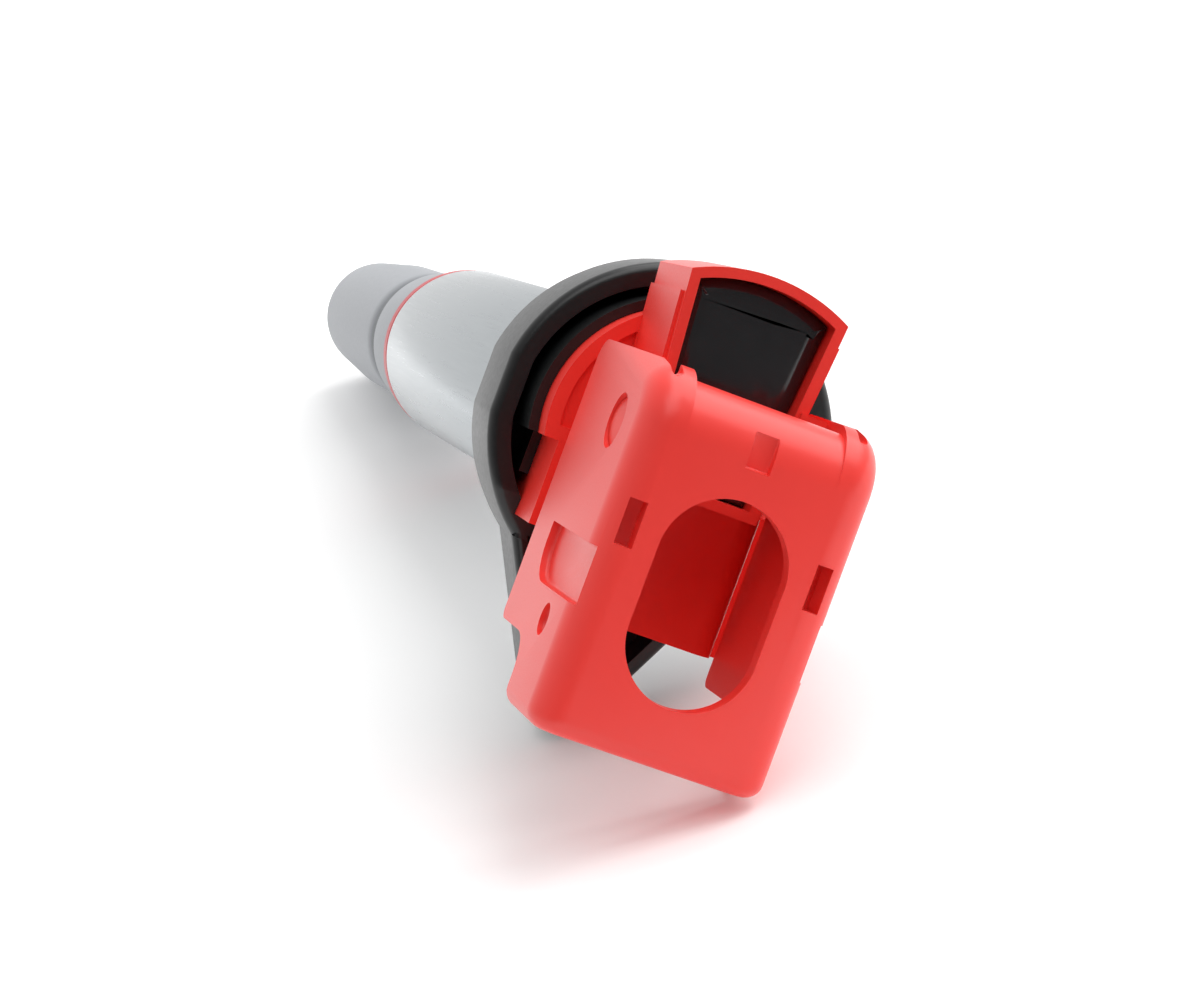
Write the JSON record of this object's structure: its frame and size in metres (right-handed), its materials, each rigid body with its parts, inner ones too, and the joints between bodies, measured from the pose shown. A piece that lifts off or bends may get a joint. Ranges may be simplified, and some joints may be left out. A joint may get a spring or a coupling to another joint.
{
  "type": "ignition coil",
  "caption": "Plug-top ignition coil: a steel-sleeved winding stick with a flip-lock connector head, sealing gasket and silicone spark-plug boot.",
  "frame": {"origin": "on the coil axis, at the gasket face that rests on the cylinder-head cover", "axes": "+Z along the coil axis towards the head, -Y towards the mouth of the connector socket, X across the lever's pivot"},
  "size_m": [0.0338, 0.0476, 0.2247],
  "materials": {
    "red_pbt": "satin moulded plastic",
    "lever_pbt": "satin moulded plastic",
    "black_rubber": "smooth moulded rubber",
    "potting_epoxy": "glossy cast resin",
    "tinned_brass": "tinned",
    "ceramic": "fired ceramic",
    "ceramic_brown": "fired ceramic",
    "copper": "rolled copper",
    "chip_mould": "moulded epoxy",
    "sleeve_steel": "drawn, satin",
    "electrical_steel": "coated",
    "bobbin_plastic": "moulded",
    "enamelled_copper": "enamelled wire",
    "stick_epoxy": "cast resin",
    "heat_shrink": "shrunk tube",
    "magnet": "sintered",
    "foam": "foamed rubber",
    "tower_plastic": "moulded",
    "collar_pbt": "moulded plastic",
    "cap_steel": "plated",
    "spring_steel": "drawn wire",
    "grey_silicone": "moulded silicone"
  },
  "bodies": {
    "coil": {"head_housing": "red_pbt", "head_gasket": "black_rubber", "potting_cap": "potting_epoxy", "supply_terminal": "tinned_brass", "trigger_terminal": "tinned_brass", "driver_ground_terminal": "tinned_brass", "coil_ground_terminal": "tinned_brass", "igniter_board": "ceramic", "heat_spreader": "copper", "power_transistor": "chip_mould", "driver_chip": "chip_mould", "filter_capacitor": "ceramic_brown", "winding_pins": "tinned_brass", "steel_sleeve": "sleeve_steel", "flux_shell": "electrical_steel", "primary_bobbin": "bobbin_plastic", "primary_winding": "enamelled_copper", "winding_encapsulant": "stick_epoxy", "secondary_bobbin": "bobbin_plastic", "secondary_winding": "enamelled_copper", "core_wrap": "heat_shrink", "core_stack": "electrical_steel", "upper_magnet": "magnet", "lower_magnet": "magnet", "upper_cushion": "foam", "lower_cushion": "foam", "high_voltage_tower": "tower_plastic", "sleeve_collar": "collar_pbt", "suppression_diode": "chip_mould", "high_voltage_terminal": "tinned_brass", "suppression_resistor": "ceramic", "resistor_caps": "cap_steel", "contact_spring": "spring_steel", "plug_boot": "grey_silicone"},
    "lever": {"lock_lever": "lever_pbt"},
    "contact": {"contact_cap": "tinned_brass"}
  },
  "joints": [
    {"name": "lever_pivot", "type": "hinge", "parent": "coil", "child": "lever", "pos_m": [0, 0.0006, 0.0373], "axis": [-1, 0, 0], "range_deg": [0, 75]},
    {"name": "contact_press", "type": "slide", "parent": "coil", "child": "contact", "axis": [0, 0, 1], "range_m": [0, 0.006], "stiffness_N_per_m": 400, "deforming": ["contact_spring"]}
  ]
}
